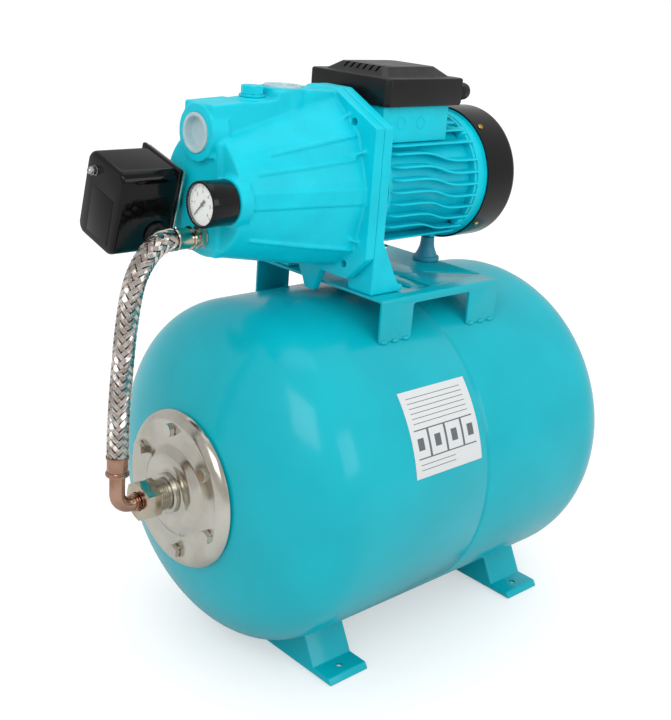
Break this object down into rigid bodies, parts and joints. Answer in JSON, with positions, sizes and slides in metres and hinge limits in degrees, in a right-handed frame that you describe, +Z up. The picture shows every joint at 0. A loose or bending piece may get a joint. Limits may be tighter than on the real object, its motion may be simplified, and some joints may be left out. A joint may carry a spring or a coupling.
{
  "type": "centrifugal water pump",
  "caption": "Teal jet-type centrifugal water pump with a finned electric motor, gauge and pressure switch, on a horizontal pressure tank, joined by a braided hose.",
  "frame": {"origin": "on the floor, under the middle of the set as a box", "axes": "+X along the pump shaft towards the motor fan, +Z up, -Y the side with the gauge; the shaft runs at y 0, z 0.495"},
  "size_m": [0.6256, 0.36, 0.612],
  "materials": {
    "tank_paint": "gloss teal enamel on pressed steel",
    "pump_cast_iron": "satin cyan enamel on sand-cast iron",
    "motor_aluminium": "satin cyan enamel on die-cast aluminium",
    "rubber": "matt black rubber",
    "blue_rubber": "blue-teal moulded rubber",
    "black_plastic": "satin black moulded plastic",
    "gloss_black_plastic": "high-gloss black moulded plastic",
    "black_steel": "gloss black enamel on drawn steel",
    "natural_plastic": "translucent natural polyethylene",
    "impeller_plastic": "glass-filled moulded plastic",
    "zinc_plate": "bright zinc plate on pressed steel",
    "nickel_brass": "nickel plate on machined brass",
    "copper_tone": "copper-toned nickel plate on brass",
    "steel_braid": "woven stainless wire braid",
    "machined_steel": "ground steel",
    "lamination_steel": "varnished electrical steel",
    "copper_wire": "enamelled copper wire",
    "ceramic": null,
    "dial_white": "printed white dial",
    "needle_black": "matt black",
    "clear_lens": "clear lens"
  },
  "bodies": {
    "pump_set": {"air_valve": "nickel_brass", "air_valve_cap": "black_plastic", "braided_hose": "steel_braid", "cable_gland": "black_plastic", "capacitor": "black_plastic", "casing_bolt_1": "zinc_plate", "casing_bolt_2": "zinc_plate", "casing_bolt_3": "zinc_plate", "casing_bolt_4": "zinc_plate", "casing_o_ring": "rubber", "diffuser": "impeller_plastic", "ejector_body": "impeller_plastic", "fan_cover": "black_steel", "flange_bolt_1": "zinc_plate", "flange_bolt_2": "zinc_plate", "flange_bolt_3": "zinc_plate", "flange_bolt_4": "zinc_plate", "flange_bolt_5": "zinc_plate", "flange_bolt_6": "zinc_plate", "foot_front": "tank_paint", "foot_rear": "tank_paint", "front_bearing": "machined_steel", "gauge_case": "black_plastic", "gauge_dial": "dial_white", "gauge_lens": "clear_lens", "hose_connector": "nickel_brass", "hose_elbow": "copper_tone", "hose_ferrule_lower": "copper_tone", "hose_ferrule_upper": "nickel_brass", "motor_bracket": "pump_cast_iron", "motor_frame": "motor_aluminium", "outlet_port_plug": "natural_plastic", "priming_plug": "pump_cast_iron", "pump_casing": "pump_cast_iron", "pump_saddle": "tank_paint", "rear_bearing": "machined_steel", "rear_end_shield": "motor_aluminium", "rear_foot": "blue_rubber", "seal_seat": "ceramic", "stator_core": "lamination_steel", "stator_windings": "copper_wire", "suction_port_plug": "natural_plastic", "switch_base": "zinc_plate", "switch_cap_nut": "machined_steel", "switch_cover": "gloss_black_plastic", "tank_bladder": "rubber", "tank_flange": "zinc_plate", "tank_front_shell": "tank_paint", "tank_nipple": "zinc_plate", "tank_rear_shell": "tank_paint", "terminal_box_lid": "black_plastic", "union_nut": "nickel_brass"},
    "rotor": {"shaft": "machined_steel", "rotor_core": "lamination_steel", "impeller": "impeller_plastic", "seal_head": "needle_black", "cooling_fan": "impeller_plastic"},
    "needle": {"gauge_needle": "needle_black"},
    "lever": {"switch_lever": "machined_steel"},
    "valve_pin": {"air_valve_pin": "nickel_brass"}
  },
  "joints": [
    {"name": "rotor_spin", "type": "hinge", "parent": "pump_set", "child": "rotor", "pos_m": [0, 0, 0.495], "axis": [1, 0, 0], "continuous": true},
    {"name": "needle_swing", "type": "hinge", "parent": "pump_set", "child": "needle", "pos_m": [-0.24725, -0.044, 0.496], "axis": [1, 0, 0], "range_deg": [0, 270], "stiffness_Nm_per_rad": 0.0005, "springref_deg": -5.73},
    {"name": "switch_lever_tilt", "type": "hinge", "parent": "pump_set", "child": "lever", "pos_m": [-0.24425, 0.05873, 0.45689], "axis": [0, -0.9659, -0.2588], "range_deg": [0, 6], "stiffness_Nm_per_rad": 1.5, "springref_deg": -1.72},
    {"name": "valve_pin_press", "type": "slide", "parent": "pump_set", "child": "valve_pin", "axis": [-1, 0, 0], "range_m": [0, 0.0012], "stiffness_N_per_m": 150, "springref_m": -0.003}
  ]
}
